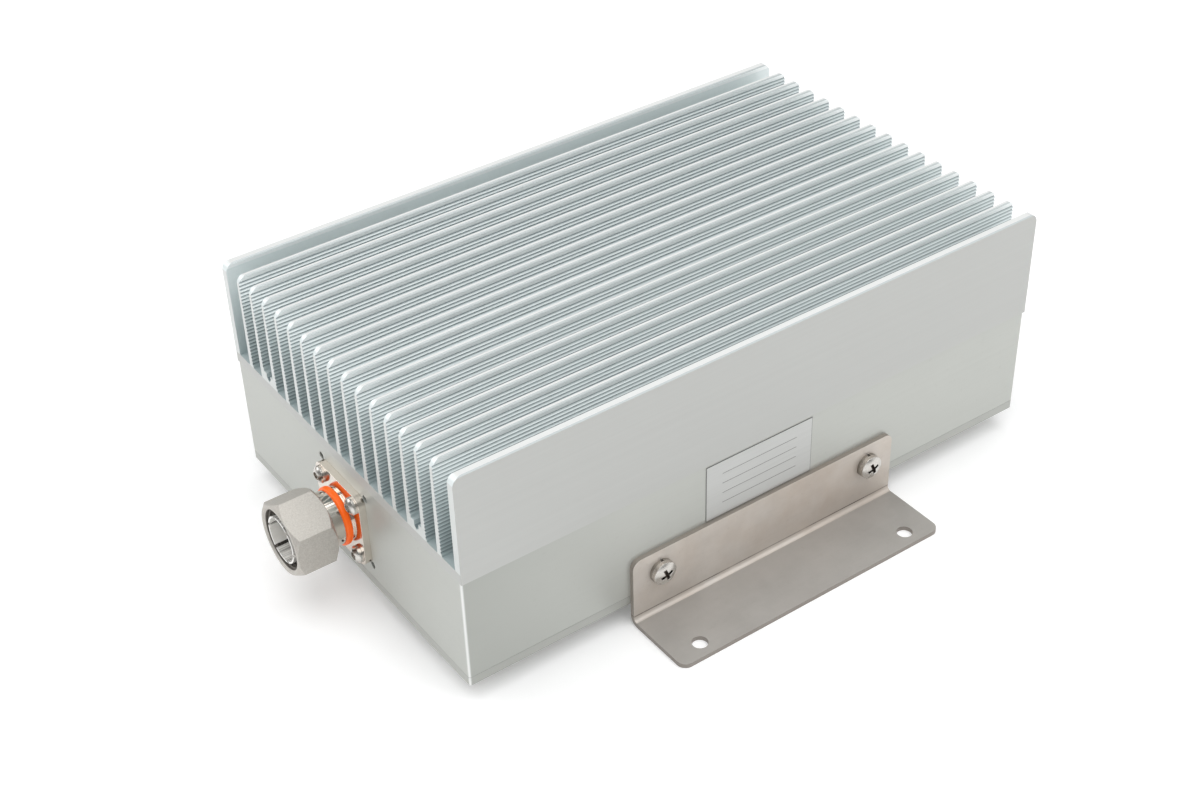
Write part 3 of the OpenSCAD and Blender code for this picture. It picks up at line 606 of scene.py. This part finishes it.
# %% Copper for the cable
cable, tree, shader, place = start_finish("cable_jacket", metallic=0.9, roughness=0.4)
clouds = use(tree, clouding, Place=place, Frequency=70.0)
grains = use(tree, grit, Place=place, Frequency=1600.0)
body = mixed(tree, clouds["Cloud"], tint(172, 112, 74), tint(196, 138, 98))
body = mixed(tree, scaled(tree, clouds["Specks"], 0.0, 0.5), body, tint(120, 78, 54))
wire(tree, shader, body,
     scaled(tree, clouds["Cloud"], 0.32, 0.5),
     bumped(tree, grains["Height"], 0.1, 0.03 * MM))
dress(["load_cable"], cable)

# %% [markdown]
# The rating plate is silvered foil with a dark cut edge, blank but for ruled lines to write on.
# The lines could be an image. Found from the place on the plate, they stay crisp from close by.

# %% Foil for the label
label_low, label_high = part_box("rating_label")
foil, tree, shader, place = start_finish("label_foil", metallic=0.55, roughness=0.34)
clouds = use(tree, clouding, Place=place, Frequency=60.0)
streaks = use(tree, drawn_lines, Place=place, Stretch=(60, 900, 3000))
axes = axes_of(tree, place)
from_left = math_of(tree, "SUBTRACT", axes["X"], label_low.x)
from_right = math_of(tree, "SUBTRACT", label_high.x, axes["X"])
from_foot = math_of(tree, "SUBTRACT", axes["Z"], label_low.z)
from_head = math_of(tree, "SUBTRACT", label_high.z, axes["Z"])
rim = math_of(tree, "MINIMUM", math_of(tree, "MINIMUM", from_left, from_right),
              math_of(tree, "MINIMUM", from_foot, from_head))
CUT_W = 0.18 * MM
cut = under(tree, rim, CUT_W)
RULES, RULE_STEP, RULE_W, RULE_IN = 4, 3.6 * MM, 0.2 * MM, 6 * MM
middle = (label_low.z + label_high.z) / 2
rules = 0.0
for k in range(RULES):
    level = middle + (k - (RULES - 1) / 2) * RULE_STEP
    rule = band(tree, axes["Z"], level - RULE_W / 2, level + RULE_W / 2)
    rules = math_of(tree, "MAXIMUM", rule, rules)
inside = band(tree, axes["X"], label_low.x + RULE_IN, label_high.x - RULE_IN)
body = mixed(tree, streaks["Tone"], tint(191, 192, 190), tint(198, 199, 197))
body = mixed(tree, scaled(tree, clouds["Cloud"], 0.0, 0.3), body, tint(199, 200, 198))
body = mixed(tree, scaled(tree, cut, 0.0, 0.7), body, tint(98, 98, 96))
printed = both(tree, rules, inside)
body = mixed(tree, scaled(tree, printed, 0.0, 0.75), body, tint(60, 62, 66))
wire(tree, shader, body,
     scaled(tree, clouds["Cloud"], 0.28, 0.4),
     bumped(tree, streaks["Height"], 0.05, 0.01 * MM))
dress(["rating_label"], foil)

# %% [markdown]
# The floor gets a finish as well, a pale sweep of paper with a hint of tooth. A weak glow of its own
# keeps the shadow under the box soft.

# %% Paper for the floor
paper, tree, shader, place = start_finish("pale_paper", roughness=0.9, Emission_Strength=0.13,
                                          Emission_Color=(1, 1, 1, 1))
grains = use(tree, grit, Place=place, Frequency=300.0)
body = mixed(tree, grains["Tone"], tint(248, 248, 248), tint(252, 252, 252))
tree.links.new(body, shader.inputs["Base Color"])
floor.data.materials.append(paper)
print("floor:", paper.name)

# %% [markdown]
# The nut's mouth is threaded. A thread is a small three-cornered section swept along a helix:
# three points, joined by edges, and one spin that also moves along the axis. The section
# starts a little inside the wall so that no gap shows, and its two ends are closed with a face.

# %% Sweep the thread inside the nut
nut_low, nut_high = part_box("coupling_nut")
port = Vector((0, 0, (nut_low.z + nut_high.z) / 2))
THREAD_PITCH, THREAD_STEPS, THREAD_TURNS = 1.0 * MM, 48, 7
ROOT_R, CREST_R, RIDGE_HALF, THREAD_IN = 9.56 * MM, 9.02 * MM, 0.42 * MM, 0.95 * MM
thread_from = nut_low.x + THREAD_IN
shape = bmesh.new()
corners = [shape.verts.new((thread_from + along, 0, port.z + radius))
           for along, radius in ((-RIDGE_HALF, ROOT_R), (0, CREST_R), (RIDGE_HALF, ROOT_R))]
section = [shape.edges.new((corners[i], corners[(i + 1) % 3])) for i in range(3)]
spun = bmesh.ops.spin(shape, geom=section, cent=port, axis=(1, 0, 0), angle=2 * math.pi * THREAD_TURNS,
                      steps=THREAD_STEPS * THREAD_TURNS, dvec=(THREAD_PITCH / THREAD_STEPS, 0, 0))
last = [v for v in spun["geom_last"] if isinstance(v, bmesh.types.BMVert)]
shape.faces.new(corners)
shape.faces.new(last)
bmesh.ops.recalc_face_normals(shape, faces=shape.faces)


def place_piece(shape, name, body, material):
    mesh = bpy.data.meshes.new(name)
    shape.to_mesh(mesh)
    shape.free()
    mesh.materials.append(material)
    piece = bpy.data.objects.new(name, mesh)
    bpy.context.scene.collection.objects.link(piece)
    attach(piece, body)
    print(name, "has", len(mesh.polygons), "faces")


place_piece(shape, "nut_thread", "nut", matt)
